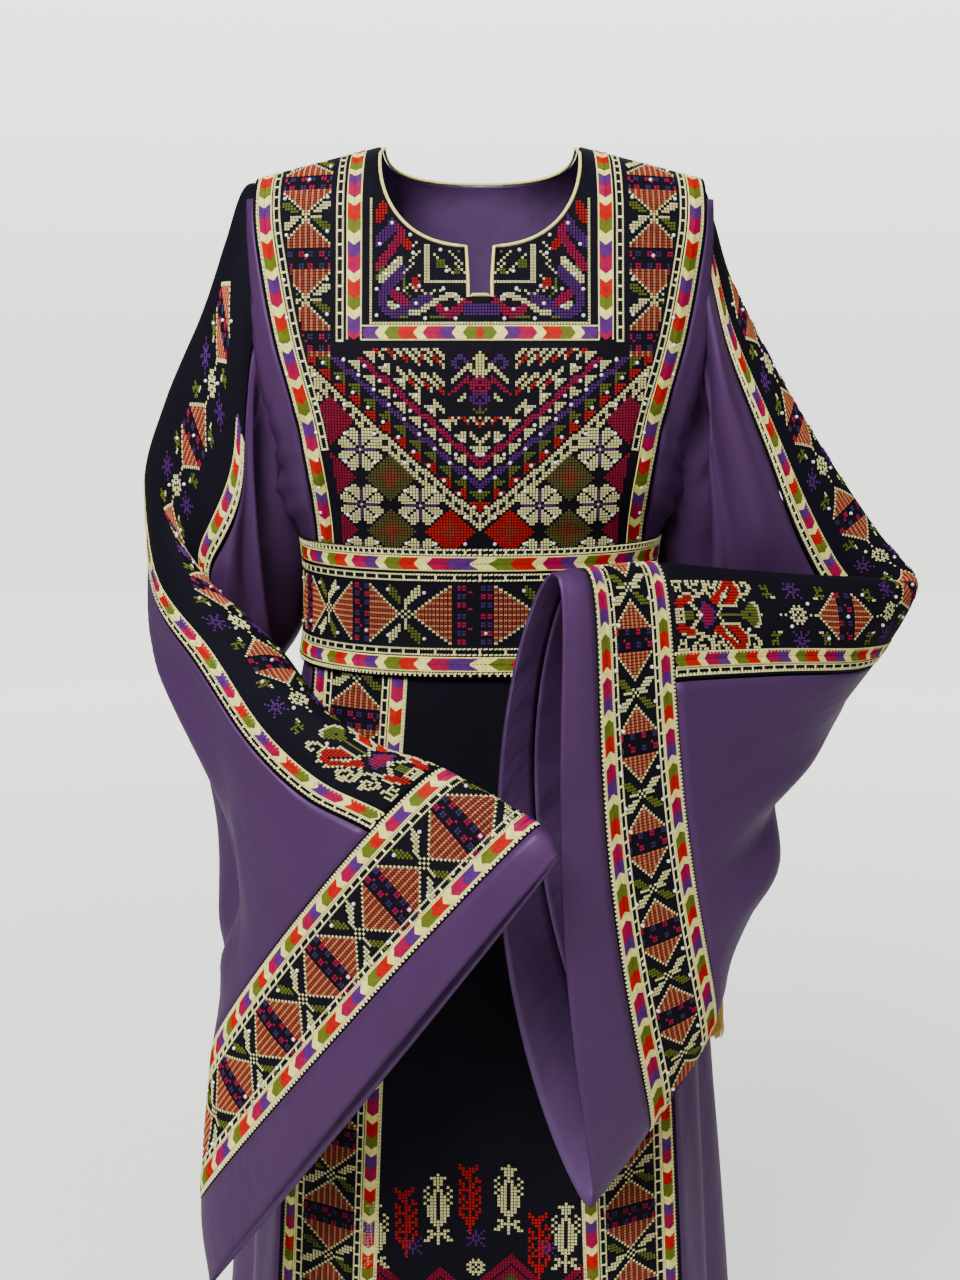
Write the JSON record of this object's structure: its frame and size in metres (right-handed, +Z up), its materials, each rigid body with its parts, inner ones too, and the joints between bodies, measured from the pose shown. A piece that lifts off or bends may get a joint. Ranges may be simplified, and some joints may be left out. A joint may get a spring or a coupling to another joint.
{
  "type": "palestinian thobe dress",
  "caption": "Long embroidered dress with a notched round neck, wide hanging sleeves held across the front, a waist belt and a tassel.",
  "frame": {"origin": "base of the neck, level with the neck ends of the shoulder seams, where the wearer holds the dress up", "axes": "+Z up along the wearer's body, -Y to the front, +X to the viewer's right"},
  "size_m": [0.7193, 0.5332, 1.4148],
  "materials": {
    "navy_crepe": "matte crepe",
    "purple_satin": "satin sheen",
    "cream_binding": "twisted thread",
    "embroidered_navy": "cross-stitched",
    "gold_thread": "silky thread"
  },
  "bodies": {
    "root": {"chest_panel": "embroidered_navy", "skirt_front": "navy_crepe", "back_panel": "purple_satin", "skirt_back": "purple_satin", "neck_binding": "cream_binding", "belt": "embroidered_navy", "belt_tie": "gold_thread", "belt_tassel": "gold_thread", "side_panel_left": "purple_satin", "sleeve_panel_left": "embroidered_navy", "sleeve_satin_upper_left": "purple_satin", "sleeve_satin_lower_left": "purple_satin", "cuff_band_left_front": "embroidered_navy", "cuff_band_left_back": "embroidered_navy", "cuff_edge_left_front": "purple_satin", "cuff_edge_left_back": "purple_satin", "side_panel_right": "purple_satin", "sleeve_panel_right": "embroidered_navy", "sleeve_satin_upper_right": "purple_satin", "sleeve_satin_lower_right": "purple_satin", "cuff_band_right_front": "embroidered_navy", "cuff_band_right_back": "embroidered_navy", "cuff_edge_right_front": "purple_satin", "cuff_edge_right_back": "purple_satin"}
  },
  "joints": []
}
